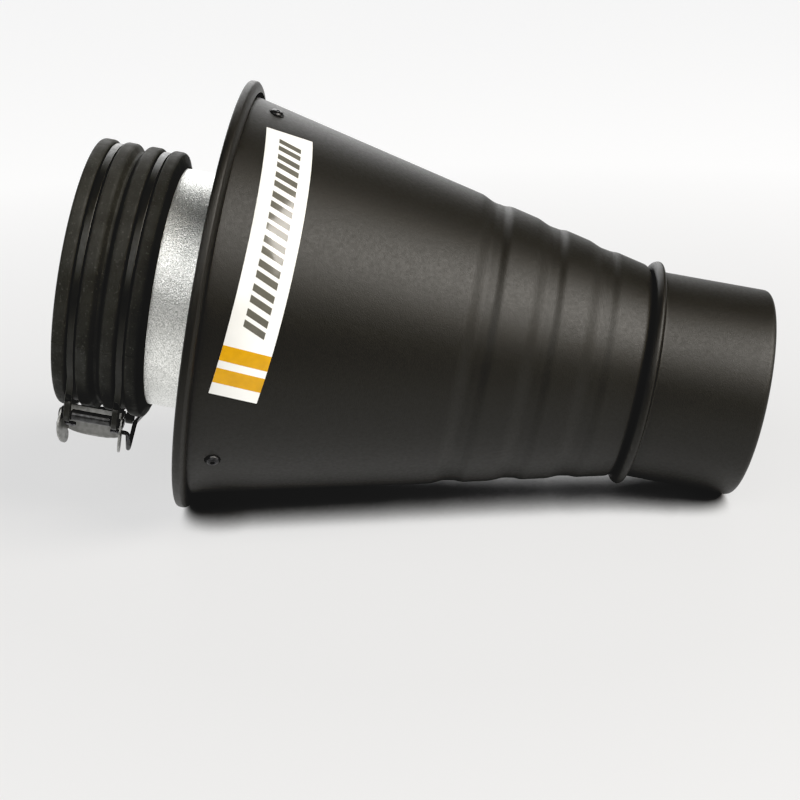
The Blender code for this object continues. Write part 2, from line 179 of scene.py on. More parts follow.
def make_mesh(name, parts, sharp):
    """Smooth mesh in the row frame, with hard edges only where faces meet steeply."""
    verts, faces = merge(parts)
    mesh = bpy.data.meshes.new(name)
    mesh.from_pydata([AXIS @ (Vector(v) * MM) for v in verts], [], faces)
    bm = bmesh.new()
    bm.from_mesh(mesh)
    bmesh.ops.recalc_face_normals(bm, faces=bm.faces)
    bm.to_mesh(mesh)
    bm.free()
    shade(mesh, sharp)
    return mesh


def shade(mesh, sharp):
    mesh.polygons.foreach_set("use_smooth", [True] * len(mesh.polygons))
    mesh.set_sharp_from_angle(angle=math.radians(sharp))


def piece(name, parts, material, body, nodes=(), sharp=35.0, union=(), holes=()):
    """One visible piece: parts are joined as they are, then united with and cut by others."""
    obj = bpy.data.objects.new(name, make_mesh(name, parts, sharp))
    bpy.context.scene.collection.objects.link(obj)
    steps = [('UNION', extra) for extra in union] + [('DIFFERENCE', hole) for hole in holes]
    tools = []
    for k, (operation, tool_part) in enumerate(steps):
        tool = bpy.data.objects.new(f"{name}_tool_{k}", make_mesh(f"{name}_tool_{k}", [tool_part], sharp))
        bpy.context.scene.collection.objects.link(tool)
        modifier = obj.modifiers.new(tool.name, 'BOOLEAN')
        modifier.operation = operation
        modifier.solver = 'EXACT'
        modifier.object = tool
        tools.append(tool)
    if tools:
        depsgraph = bpy.context.evaluated_depsgraph_get()
        result = bpy.data.meshes.new_from_object(obj.evaluated_get(depsgraph))
        obj.modifiers.clear()
        obj.data = result
        obj.data.name = name
        shade(obj.data, sharp)
        for tool in tools:
            bpy.data.objects.remove(tool, do_unlink=True)
    obj.data.materials.clear()
    obj.data.materials.append(material)
    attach(obj, body)
    if nodes:
        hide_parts(*nodes)
    return obj


def loops_to_faces(rows, columns, close_rows=False, close_columns=False):
    """Quads of a grid of rows x columns vertices."""
    faces = []
    for i in range(rows if close_rows else rows - 1):
        here = i * columns
        there = ((i + 1) % rows) * columns
        for j in range(columns if close_columns else columns - 1):
            k = (j + 1) % columns
            faces.append((here + j, here + k, there + k, there + j))
    return faces


def capped_faces(rows, columns):
    """Rings joined one after another, with a face over each end."""
    faces = loops_to_faces(rows, columns, close_columns=True)
    faces.append(tuple(range(columns)))
    faces.append(tuple(range((rows - 1) * columns, rows * columns)))
    return faces


def turned(profile, angles=None, shape=None):
    """Closed (s, r) profile turned about the axis; shape(s, r, angle) may change r."""
    if angles is None:
        angles = [360.0 * k / RING for k in range(RING)]
    verts = []
    for angle in angles:
        y = -math.sin(math.radians(angle))
        z = math.cos(math.radians(angle))
        for s, r in profile:
            if shape:
                r = shape(s, r, angle)
            verts.append((s, r * y, r * z))
    return verts, loops_to_faces(len(angles), len(profile), close_rows=True, close_columns=True)


def spun(profile, matrix, segments=32):
    """Solid turned part: (height, radius) pairs from one end to the other."""
    verts = []
    for height, radius in profile:
        for k in range(segments):
            angle = 2.0 * math.pi * k / segments
            point = Vector((radius * math.cos(angle), radius * math.sin(angle), height))
            verts.append(matrix @ point)
    return verts, capped_faces(len(profile), segments)


def hollow(profile, matrix, segments=32):
    """Closed (height, radius) profile turned on its own axis."""
    verts = []
    for k in range(segments):
        angle = 2.0 * math.pi * k / segments
        for height, radius in profile:
            point = Vector((radius * math.cos(angle), radius * math.sin(angle), height))
            verts.append(matrix @ point)
    return verts, loops_to_faces(segments, len(profile), close_rows=True, close_columns=True)


def softened(points, radii, closed, steps=4):
    """Polyline whose corners are replaced by small arcs; radii is one value or a list."""
    points = [Vector(p) for p in points]
    count = len(points)
    if not isinstance(radii, (list, tuple)):
        radii = [radii] * count
    result = []
    for i in range(count):
        if not closed and i in (0, count - 1):
            result.append(points[i])
            continue
        corner = points[i]
        to_start = points[i - 1] - corner
        to_end = points[(i + 1) % count] - corner
        reach = min(radii[i], 0.48 * to_start.length, 0.48 * to_end.length)
        if reach < 0.01:
            result.append(corner)
            continue
        start = corner + to_start.normalized() * reach
        end = corner + to_end.normalized() * reach
        for k in range(steps + 1):
            t = k / steps
            result.append(start * (1 - t) ** 2 + corner * 2 * t * (1 - t) + end * t ** 2)
    return result


def flowing(points, steps=6):
    """Smooth open curve through the points."""
    points = [Vector(p) for p in points]
    padded = [2 * points[0] - points[1]] + points + [2 * points[-1] - points[-2]]
    result = []
    for i in range(1, len(padded) - 2):
        a, b, c, d = padded[i - 1:i + 3]
        for k in range(steps):
            t = k / steps
            result.append(0.5 * (2 * b + (c - a) * t + (2 * a - 5 * b + 4 * c - d) * t ** 2
                                 + (3 * b - a - 3 * c + d) * t ** 3))
    result.append(points[-1])
    return result


def arc(center, radius, start_deg, end_deg, steps):
    """Points on a circle in the (y, z) plane; 0 degrees is +Y and 90 degrees is +Z."""
    points = []
    for k in range(steps + 1):
        angle = math.radians(start_deg + (end_deg - start_deg) * k / steps)
        points.append((center[0] + radius * math.cos(angle), center[1] + radius * math.sin(angle)))
    return points


def ribbon(path, section):
    """Sweeps a closed (along S, outwards) section along a (y, z) path."""
    count = len(path)
    verts = []
    for i in range(count):
        here = Vector(path[i])
        into = (here - Vector(path[i - 1])).normalized() if i else None
        out = (Vector(path[i + 1]) - here).normalized() if i < count - 1 else None
        along = ((into or out) + (out or into)).normalized()
        side = Vector((-along.y, along.x)) / max(along.dot(out or into), 0.6)
        for across, height in section:
            point = here + side * height
            verts.append((across, point.x, point.y))
    return verts, capped_faces(count, len(section))


def band_section(s, width=BAND_WIDTH, thickness=BAND_THICKNESS):
    """Strip metal with rounded edges and a slight crown."""
    w = 0.5 * width
    t = 0.5 * thickness
    outline = [(s - w, -t), (s + w, -t), (s + w, t), (s, t + 0.06), (s - w, t)]
    return softened(outline, [0.25, 0.25, 0.3, 1.0, 0.3], closed=True, steps=3)


def tube(points, radius, sides=16):
    """Round wire along a 3-D path, with rounded ends."""
    rings = []
    first = (points[1] - points[0]).normalized()
    last = (points[-1] - points[-2]).normalized()
    rings.append((points[0] - first * 0.3, 0.55 * radius))
    rings.append((points[0] - first * 0.12, 0.85 * radius))
    rings.extend((point, radius) for point in points)
    rings.append((points[-1] + last * 0.12, 0.85 * radius))
    rings.append((points[-1] + last * 0.3, 0.55 * radius))
    verts = []
    normal = first.orthogonal().normalized()
    for i, (point, size) in enumerate(rings):
        before = rings[max(i - 1, 0)][0]
        after = rings[min(i + 1, len(rings) - 1)][0]
        along = (after - before).normalized()
        normal = (normal - along * normal.dot(along)).normalized()
        other = along.cross(normal)
        for k in range(sides):
            angle = 2.0 * math.pi * k / sides
            verts.append(point + size * (normal * math.cos(angle) + other * math.sin(angle)))
    return verts, capped_faces(len(rings), sides)


def plate(outline, low, high, place, bevel=0.15):
    """Sheet cut to an outline, with softened edges; place(u, v, depth) gives the point."""
    count = len(outline)
    outline = [Vector(p) for p in outline]
    area = sum(outline[i - 1].cross(outline[i]) for i in range(count))
    turn = 1.0 if area > 0 else -1.0
    inner = []
    for i in range(count):
        before = (outline[i] - outline[i - 1]).normalized()
        after = (outline[(i + 1) % count] - outline[i]).normalized()
        normal = Vector((-(before + after).y, (before + after).x)).normalized() * turn
        inner.append(outline[i] + normal * bevel)
    verts = []
    layers = ((inner, low), (outline, low + bevel), (outline, high - bevel), (inner, high))
    for loop, depth in layers:
        verts.extend(place(p.x, p.y, depth) for p in loop)
    return verts, capped_faces(len(layers), count)


def across_axis(y, z, s):
    """Place for plates that stand square to the axis: outline in (y, z)."""
    return (s, y, z)


def facing_side(s, z, y):
    """Place for plates that face the side: outline in (s, z)."""
    return (s, y, z)


def stacked(s, y, z):
    """Place for outlines in (s, y), pushed upwards."""
    return (s, y, z)


def along_axis(y=0.0, z=0.0, s=0.0):
    return Matrix.Translation((s, y, z)) @ Matrix.Rotation(math.radians(90), 4, 'Y')


def surface_frame(s, radius, angle_deg, slope):
    """Frame on a turned surface: its own Z is the outward normal."""
    angle = math.radians(angle_deg)
    radial = Vector((0.0, -math.sin(angle), math.cos(angle)))
    normal = (radial + Vector((slope, 0.0, 0.0))).normalized()
    tangent = Vector((0.0, math.cos(angle), math.sin(angle)))
    forward = tangent.cross(normal)
    rotation = Matrix((forward, tangent, normal)).transposed().to_4x4()
    return Matrix.Translation(radial * radius + Vector((s, 0.0, 0.0))) @ rotation


# ---------------------------------------------------------------- materials

def new_material(name, color, roughness, metallic=0.0, specular=0.5):
    material = bpy.data.materials.new(name)
    material.use_nodes = True
    shader = material.node_tree.nodes["Principled BSDF"]
    shader.inputs["Base Color"].default_value = (*color, 1.0)
    shader.inputs["Roughness"].default_value = roughness
    shader.inputs["Metallic"].default_value = metallic
    shader.inputs["Specular IOR Level"].default_value = specular
    return material


def noise(material, scale, detail=3.0):
    """Noise fixed to the piece, in features per metre."""
    nodes = material.node_tree.nodes
    place = nodes.new("ShaderNodeTexCoord")
    texture = nodes.new("ShaderNodeTexNoise")
    texture.inputs["Scale"].default_value = scale
    texture.inputs["Detail"].default_value = detail
    material.node_tree.links.new(place.outputs["Object"], texture.inputs["Vector"])
    return texture.outputs["Fac"]


def spread(material, source, low, high, out_low, out_high):
    """Maps a source between two values, clamped; works for a world too."""
    node = material.node_tree.nodes.new("ShaderNodeMapRange")
    node.inputs["From Min"].default_value = low
    node.inputs["From Max"].default_value = high
    node.inputs["To Min"].default_value = out_low
    node.inputs["To Max"].default_value = out_high
    material.node_tree.links.new(source, node.inputs["Value"])
    return node.outputs["Result"]


def mottle(material, scale, detail, low, high, out_low=0.0, out_high=1.0):
    """Noise between two of its levels, mapped to a range."""
    return spread(material, noise(material, scale, detail), low, high, out_low, out_high)


def blend_colors(material, factor, first, second):
    """first and second are colours or sockets."""
    node = material.node_tree.nodes.new("ShaderNodeMix")
    node.data_type = 'RGBA'
    links = material.node_tree.links
    links.new(factor, node.inputs["Factor"])
    for socket, value in ((node.inputs[6], first), (node.inputs[7], second)):
        if isinstance(value, tuple):
            socket.default_value = (*value, 1.0)
        else:
            links.new(value, socket)
    return node.outputs[2]


def feed(material, socket, source):
    shader = material.node_tree.nodes["Principled BSDF"]
    material.node_tree.links.new(source, shader.inputs[socket])


def add_bumps(material, *layers):
    """Stacks (height source, depth in metres) layers into the normal."""
    nodes = material.node_tree.nodes
    links = material.node_tree.links
    normal = None
    for source, depth in layers:
        bump = nodes.new("ShaderNodeBump")
        bump.inputs["Strength"].default_value = 1.0
        bump.inputs["Distance"].default_value = depth
        links.new(source, bump.inputs["Height"])
        if normal:
            links.new(normal, bump.inputs["Normal"])
        normal = bump.outputs["Normal"]
    feed(material, "Normal", normal)


def edges(material, low, high):
    """1 on raised edges, 0 elsewhere."""
    geometry = material.node_tree.nodes.new("ShaderNodeNewGeometry")
    return spread(material, geometry.outputs["Pointiness"], low, high, 0.0, 1.0)


def multiply(material, first, second):
    node = material.node_tree.nodes.new("ShaderNodeMath")
    node.operation = 'MULTIPLY'
    material.node_tree.links.new(first, node.inputs[0])
    material.node_tree.links.new(second, node.inputs[1])
    return node.outputs[0]


def powder_coat(name, dark, light, rough):
    """Matte powder coat: orange peel, fine speckle and slightly polished edges."""
    material = new_material(name, dark, rough)
    clouds = mottle(material, 1400.0, 6.0, 0.35, 0.65)
    color = blend_colors(material, clouds, dark, light)
    worn = multiply(material, edges(material, 0.52, 0.60),
                    mottle(material, 260.0, 3.0, 0.45, 0.65, 0.0, 0.6))
    feed(material, "Base Color", blend_colors(material, worn, color, (0.055, 0.050, 0.044)))
    feed(material, "Roughness", mottle(material, 700.0, 5.0, 0.3, 0.7, rough - 0.04, rough + 0.04))
    add_bumps(material, (noise(material, 2100.0, 2.0), 0.00005), (noise(material, 420.0, 2.0), 0.00003))
    return material


def rubber_material():
    material = new_material("moulded_rubber", (0.022, 0.022, 0.019), 0.72, specular=0.4)
    dust = mottle(material, 900.0, 3.0, 0.60, 0.72, 0.0, 0.55)
    cloud = mottle(material, 60.0, 4.0, 0.35, 0.7)
    base = blend_colors(material, cloud, (0.019, 0.019, 0.0168), (0.029, 0.029, 0.026))
    feed(material, "Base Color", blend_colors(material, dust, base, (0.07, 0.07, 0.065)))
    feed(material, "Roughness", mottle(material, 150.0, 4.0, 0.3, 0.7, 0.62, 0.82))
    add_bumps(material, (noise(material, 1300.0, 3.0), 0.00012), (noise(material, 220.0, 2.0), 0.00010))
    return material


def steel_material(name, color, rough, metallic):
    """Strip, pin or wire steel: fine grain, stains and brighter edges."""
    material = new_material(name, color, rough, metallic)
    stain = mottle(material, 120.0, 5.0, 0.35, 0.7)
    darker = tuple(0.7 * c for c in color)
    base = blend_colors(material, stain, color, darker)
    worn = multiply(material, edges(material, 0.52, 0.62),
                    mottle(material, 500.0, 3.0, 0.4, 0.6, 0.0, 0.7))
    lighter = tuple(min(1.0, 0.25 + 1.6 * c) for c in color)
    feed(material, "Base Color", blend_colors(material, worn, base, lighter))
    feed(material, "Roughness", mottle(material, 700.0, 4.0, 0.3, 0.7, rough - 0.07, rough + 0.10))
    add_bumps(material, (noise(material, 1800.0, 2.0), 0.00003))
    return material


def hammertone_material():
    """Silver metallic paint with a fine sparkling grain."""
    material = new_material("silver_hammertone", (0.80, 0.81, 0.79), 0.38, 0.92)
    flakes = mottle(material, 2600.0, 1.0, 0.38, 0.62)
    base = blend_colors(material, flakes, (0.50, 0.51, 0.48), (1.0, 1.0, 0.97))
    grime = mottle(material, 70.0, 4.0, 0.45, 0.75, 0.0, 0.25)
    feed(material, "Base Color", blend_colors(material, grime, base, (0.45, 0.45, 0.43)))
    feed(material, "Roughness", mottle(material, 1100.0, 2.0, 0.35, 0.65, 0.28, 0.46))
    add_bumps(material, (noise(material, 2100.0, 1.0), 0.00020))
    return material


def vinyl_material():
    material = new_material("label_vinyl", (0.80, 0.80, 0.77), 0.16)
    cloud = mottle(material, 55.0, 4.0, 0.35, 0.7)
    feed(material, "Base Color", blend_colors(material, cloud, (0.82, 0.82, 0.79), (0.77, 0.77, 0.74)))
    feed(material, "Roughness", mottle(material, 300.0, 4.0, 0.3, 0.7, 0.12, 0.22))
    add_bumps(material, (noise(material, 130.0, 2.0), 0.00004))
    return material


def ink_material(name, color):
    material = new_material(name, color, 0.15)
    streak = mottle(material, 240.0, 4.0, 0.35, 0.7)
    darker = tuple(0.86 * c for c in color)
    feed(material, "Base Color", blend_colors(material, streak, color, darker))
    feed(material, "Roughness", mottle(material, 300.0, 4.0, 0.3, 0.7, 0.11, 0.21))
    add_bumps(material, (noise(material, 130.0, 2.0), 0.00004))
    return material


def foil_material():
    material = new_material("black_foil", (0.03, 0.03, 0.03), 0.42, 0.5)
    feed(material, "Base Color",
         blend_colors(material, mottle(material, 260.0, 3.0, 0.35, 0.65),
                      (0.022, 0.022, 0.023), (0.045, 0.045, 0.046)))
    feed(material, "Roughness", mottle(material, 800.0, 3.0, 0.3, 0.7, 0.32, 0.52))
    add_bumps(material, (noise(material, 900.0), 0.00004))
    return material


# ---------------------------------------------------------------- cone shell

def cone_radius(s):
    return CONE_START_R - CONE_TAN * (s - CONE_START_S)


def end_roll(s):
    """How far the cone's front edge is rolled in towards the spigot."""
    return 0.15 * max(0.0, s - ROLL_START_S) ** 2


def ease(t):
    return t * t * (3.0 - 2.0 * t)


def hoop_depth(s):
    """Depth of the three rolled grooves at a station."""
    for start, deepest, flat_end, end, depth in HOOPS:
        if start <= s <= deepest:
            return depth * ease((s - start) / (deepest - start))
        if deepest < s <= flat_end:
            return depth * (1.0 - 0.15 * ease((s - deepest) / (flat_end - deepest)))
        if flat_end < s <= end:
            return 0.85 * depth * (1.0 - ease((s - flat_end) / (end - flat_end)))
    return 0.0


def skin_stations():
    """Stations along the cone, close together at the screws and the grooves."""
    stations = []
    s = CONE_START_S
    while s < CONE_END_S - 0.4:
        stations.append(s)
        if 69.0 < s < 79.0:
            s += 0.8
        elif 160.0 < s < 232.0:
            s += 0.75
        elif s > ROLL_START_S - 3.0:
            s += 0.45
        else:
            s += 2.5
    return stations + [CONE_END_S]


def cone_profile():
    skin = [(s, cone_radius(s) - hoop_depth(s) - end_roll(s)) for s in skin_stations()]
    outer = list(reversed(skin))
    curl = flowing([(64.6, 87.55), (62.2, 88.1), (60.8, 88.9), (60.3, 90.4), (60.6, 92.3), (61.4, 92.9),
                    (62.3, 92.2), (63.1, 90.2)], steps=5)
    brim = flowing([(64.1, 90.3), (63.4, 92.5), (62.3, 94.0), (61.5, LIP_R), (60.0, LIP_R),
                    (59.1, 94.0), (58.7, 93.0)], steps=5)
    back = [(58.7, 92.0), (58.7, 89.4), (58.72, 88.2), (58.9, 87.5), (59.5, 86.9), (60.8, 86.6)]
    curl_end = [(63.3, 89.95), (63.7, 89.9), (64.0, 90.0)]
    inner = [(s, r - WALL) for s, r in skin[:-1]]
    tail = softened([(CONE_END_S - 1.0, SPIGOT_R - WALL), (SPIGOT_END_S, SPIGOT_R - WALL),
                     (SPIGOT_END_S, SPIGOT_R), (CONE_END_S + 0.6, SPIGOT_R)],
                    [0.0, 0.4, 0.4, 0.0], closed=False, steps=3)
    return outer + curl + curl_end + brim + back + inner + tail


def screw_frames():
    """Frames of the three screws, each with its own Z square to the cone's surface."""
    return [surface_frame(SCREW_S, cone_radius(SCREW_S), angle, CONE_TAN) for angle in SCREW_ANGLES]


def build_shell(looks):
    """The spun cone, with a pressed dish and a clear hole for each screw."""
    dish = [(-5.0, 1.9), (-0.62, 1.9), (-0.42, 2.9), (0.0, 3.45), (0.6, 3.6)]
    dishes = [spun(dish, at, 40) for at in screw_frames()]
    piece("cone_skin", [turned(cone_profile())], looks["black"], "shell",
          ["cone_shell"], holes=dishes)


def build_screws(looks):
    """Screws with hexagon sockets, each with its washer and nut inside the cone."""
    thread = []
    for k in range(8):
        thread.extend([(-6.7 + 0.38 * k, 1.32), (-6.51 + 0.38 * k, 1.5)])
    head = [(-0.35, 1.5), (-0.3, 3.0), (0.1, 3.05), (0.6, 2.85), (1.05, 2.35), (1.35, 1.75),
            (1.42, 1.25)]
    rim = softened([(-3.7, 1.8), (-3.7, 3.9), (-3.1, 3.9), (-3.1, 1.8)], 0.15, closed=True, steps=2)
    for k, at in enumerate(screw_frames(), start=1):
        socket = spun([(0.35, 1.0), (2.0, 1.0)], at, 6)
        piece(f"screw_head_{k}", [spun(thread + head, at, 36)], looks["screw"], "shell",
              [f"shell_screw_{k}"], holes=[socket])
        piece(f"washer_disc_{k}", [hollow(rim, at, 40)], looks["screw"], "shell",
              [f"shell_washer_{k}"])
        piece(f"nut_hex_{k}", [nut(at)], looks["screw"], "shell", [f"shell_nut_{k}"])


def nut(at):
    """Hexagon nut with rounded-off corners at both faces."""
    segments = 48
    half_flats = 2.77
    levels = [(-6.4, 2.85), (-6.05, 3.2), (-4.35, 3.2), (-4.0, 2.85)]
    bore = [(-4.0, 1.75), (-6.4, 1.75)]
    verts = []
    for k in range(segments):
        angle = 2.0 * math.pi * k / segments
        flat = half_flats / math.cos((angle + math.pi / 6) % (math.pi / 3) - math.pi / 6)
        ring = [(height, min(flat, limit)) for height, limit in levels] + bore
        for height, radius in ring:
            verts.append(at @ Vector((radius * math.cos(angle), radius * math.sin(angle), height)))
    return verts, loops_to_faces(segments, len(levels) + len(bore), close_rows=True, close_columns=True)


def rivet_frames():
    """Frames of the six rivets, each with its own Z along the snoot's axis."""
    frames = []
    for k in range(6):
        angle = math.radians(30 + 60 * k)
        frames.append(along_axis(-RIVET_CIRCLE_R * math.sin(angle), RIVET_CIRCLE_R * math.cos(angle)))
    return frames


def rivet_holes():
    return [spun([(PLATE_S - 2.0, 1.75), (66.0, 1.75)], at, 24) for at in rivet_frames()]


def build_back_plate(looks):
    """Disc in the lip's recess, with a skirt inside the cone that takes the screws."""
    skirt_r = CONE_START_R - WALL - 0.3
    skirt_end_r = skirt_r - CONE_TAN * (SKIRT_END_S - CONE_START_S)
    outline = [
        (PLATE_S, NECK_R + 0.3), (PLATE_S, 84.8), (61.4, 85.7), (CONE_START_S, skirt_r),
        (SKIRT_END_S, skirt_end_r), (SKIRT_END_S, skirt_end_r - 1.2), (CONE_START_S, skirt_r - 1.2),
        (62.8, 84.4), (PLATE_S + PLATE_THICKNESS, 83.4), (PLATE_S + PLATE_THICKNESS, NECK_R + 0.3)]
    radii = [0.2, 0.9, 0.5, 0.8, 0.3, 0.3, 0.8, 0.5, 0.8, 0.2]
    screw_holes = [spun([(-6.0, 1.85), (1.0, 1.85)], at, 24) for at in screw_frames()]
    piece("back_disc", [turned(softened(outline, radii, closed=True))], looks["black"], "shell",
          ["back_plate"], holes=rivet_holes() + screw_holes)


def build_neck(looks):
    outline = [
        (NECK_START_S, NECK_BORE_R), (NECK_START_S, NECK_R), (FLANGE_S, NECK_R),
        (FLANGE_S, 58.2), (FLANGE_S + 1.2, 58.2), (FLANGE_S + 1.2, NECK_BORE_R)]
    piece("neck_tube", [turned(softened(outline, [0.3, 0.3, 0.0, 0.3, 0.3, 0.9], closed=True))],
          looks["silver"], "shell", ["mount_neck"], holes=rivet_holes())


def build_rivets(looks):
    """Domed outside, upset flat against the flange inside."""
    rear = PLATE_S - 0.05
    front = FLANGE_S + 1.25
    outline = [(rear - 1.25, 0.6), (rear - 1.2, 1.2), (rear - 0.95, 1.85), (rear - 0.55, 2.35),
               (rear, 2.6), (rear, 1.5), (front, 1.5), (front, 2.4), (front + 0.5, 2.15),
               (front + 0.9, 1.5)]
    for k, at in enumerate(rivet_frames(), start=1):
        piece(f"rivet_head_{k}", [spun(outline, at, 32)], looks["screw"], "shell",
              [f"neck_rivet_{k}"])


# ---------------------------------------------------------------- label

def label_point(down, side, lift):
    """Point on the strip: down is along the label, side is away from the nose."""
    tilt = math.radians(LABEL_TILT)
    along = down * math.cos(tilt) - side * math.sin(tilt)
    across = side * math.cos(tilt) + down * math.sin(tilt)
    slant = math.atan(CONE_TAN)
    apex_s = CONE_START_S + CONE_START_R / CONE_TAN
    middle = LABEL_MID_R / math.sin(slant)
    distance = math.hypot(middle + across, along)
    angle = math.radians(LABEL_ANGLE) + math.atan2(along, middle + across) / math.sin(slant)
    radius = distance * math.sin(slant) + lift * math.cos(slant)
    s = apex_s - distance * math.cos(slant) + lift * math.sin(slant)
    return (s, -radius * math.sin(angle), radius * math.cos(angle))


def label_patch(start, end, left, right, lean, low, high, steps):
    """Slab on the label between two positions along it; lean shears its ends."""
    verts = []
    columns = [left, left + 0.15, 0.5 * (left + right), right - 0.15, right]
    heights = [low + 0.5 * (high - low), high, high, high, low + 0.5 * (high - low)]
    loop = [(c, h) for c, h in zip(columns, heights)] + [(right, low), (left, low)]
    for i in range(steps + 1):
        t = start + (end - start) * i / steps
        for across, lift in loop:
            verts.append(label_point(t + lean * across, across, lift))
    return verts, capped_faces(steps + 1, len(loop))


def build_label(looks):
    """White strip with nine pairs of slanted grey bars and two amber bars."""
    half = 0.5 * LABEL_LENGTH
    wide = 0.5 * LABEL_WIDTH
    print_low = 0.20
    print_high = 0.27
    piece("label_strip", [label_patch(-half, half, -wide, wide, 0.0, 0.03, 0.24, 80)], looks["vinyl"],
          "shell", ["label_plate"], sharp=50.0)
    bars = []
    for k in range(9):
        for step in (0.0, 4.6):
            start = -54.5 + 10.0 * k + step
            bars.append(label_patch(start, start + 2.9, -5.1, 4.3, -0.35, print_low, print_high, 4))
    piece("label_marks_grey", bars, looks["grey_ink"], "shell", sharp=50.0)
    stripes = [label_patch(start, start + 6.4, 0.02 - wide, wide - 0.02, 0.0, print_low, print_high, 6)
               for start in (40.6, 50.2)]
    piece("label_marks_amber", stripes, looks["amber_ink"], "shell", sharp=50.0)


# ---------------------------------------------------------------- collar and bands

def collar_profile():
    top = COLLAR_R
    outline = [
        (0.0, 51.0, 0.5), (0.0, 57.3, 0.6), (0.35, 58.35, 0.5), (1.3, top, 0.5),
        (4.9, top, 0.5), (5.75, 58.2, 0.4), (6.0, 57.4, 0.4), (6.0, GROOVE_R, 0.25),
        (9.9, GROOVE_R, 0.25), (9.9, 57.4, 0.4), (10.15, 58.2, 0.4), (11.0, top, 0.5),
        (14.7, top, 0.6), (15.7, 58.1, 0.6), (17.3, 55.4, 0.6), (18.8, 55.4, 0.6),
        (20.4, 58.1, 0.6), (21.4, top, 0.6), (25.5, top, 0.5), (26.25, 58.2, 0.4),
        (26.5, 57.4, 0.4), (26.5, GROOVE_R, 0.25), (30.5, GROOVE_R, 0.25), (30.5, 57.4, 0.4),
        (30.75, 58.2, 0.4), (31.6, top, 0.5), (35.0, top, 0.5), (36.1, 58.2, 0.5),
        (38.0, 53.4, 0.6), (38.0, NECK_R + 0.08, 0.15), (NECK_START_S - 0.3, NECK_R + 0.08, 0.15),
        (NECK_START_S - 0.3, LAMP_BORE_R, 0.3)]
    ribs = []
    for k in range(5):
        s = 20.6 - 4.2 * k
        ribs.extend([(s, LAMP_BORE_R, 0.5), (s - 0.7, LAMP_BORE_R + 0.5, 0.3),
                     (s - 1.5, LAMP_BORE_R + 0.5, 0.3), (s - 2.2, LAMP_BORE_R, 0.5)])
    outline += ribs + [(1.0, LAMP_BORE_R, 0.5)]
    return softened([(s, r) for s, r, _ in outline], [c for _, _, c in outline], closed=True, steps=4)


def seam_angles():
    """Even steps round the collar, with extra ones at the two mould seams."""
    angles = [360.0 * k / RING for k in range(RING)]
    for seam in SEAM_ANGLES:
        angles = [a for a in angles if abs(a - seam) > 0.9]
        angles += [seam + step for step in (-0.6, -0.28, -0.12, 0.12, 0.28, 0.6)]
    return sorted(angles)


def seam_ridge(s, r, angle):
    """A thin line of flash where the two halves of the mould met."""
    if r < 54.0:
        return r
    for seam in SEAM_ANGLES:
        if abs(angle - seam) < 0.2:
            return r + 0.16
    return r


def strap_path():
    """Curl round the pivot pin, over the top of the collar, curl round the catch pin."""
    curl = 2.2
    join = -math.degrees(math.acos(STRAP_Y / BAND_R))
    catch_distance = math.hypot(*CATCH)
    catch_angle = math.degrees(math.atan2(CATCH[1], CATCH[0]))
    leave = catch_angle + math.degrees(math.acos((BAND_R - curl) / catch_distance))
    straight = [(STRAP_Y, PIVOT[1] + step) for step in (2.0, 4.0, 6.0, 8.0, 10.0, 12.0)]
    hoop = arc((0.0, 0.0), BAND_R, join - 3.0, leave - 360.0, 150)
    catch_curl = arc(CATCH, curl, leave, leave - 230.0, 28)
    return arc(PIVOT, curl, 20.0, -180.0, 28) + straight + hoop + catch_curl[1:]


def fold_path():
    """The strap's free end, turned back up over itself and welded."""
    outer = STRAP_Y - BAND_THICKNESS - 0.05
    down = [(outer, FOLD_TOP_Z - step) for step in (0.0, 0.4, 1.5, 3.0, 4.5, 6.0)]
    return down + arc(PIVOT, PIVOT[0] - outer, 180.0, 262.0, 12)


def build_collar(looks):
    piece("collar_rubber", [turned(collar_profile(), seam_angles(), seam_ridge)], looks["rubber"],
          "shell", ["rubber_collar"], sharp=50.0)


def build_bands(looks):
    """Two straps, each with a window for the end of its fold."""
    for name, node, s in (("band_rear", "rear_band", REAR_BAND_S),
                          ("band_front", "front_band", FRONT_BAND_S)):
        low = FOLD_TOP_Z + 0.1
        high = FOLD_TOP_Z + 2.7
        window = plate([(s - 1.15, low), (s + 1.15, low), (s + 1.15, high), (s - 1.15, high)],
                       STRAP_Y - 2.0, STRAP_Y + 2.0, facing_side, bevel=0.01)
        fold = ribbon(fold_path(), band_section(s, FOLD_WIDTH, FOLD_THICKNESS))
        piece(name, [ribbon(strap_path(), band_section(s))], looks["band"], "shell", [node],
              sharp=45.0, holes=[window])
        piece(name + "_fold", [fold], looks["band"], "shell", sharp=45.0)


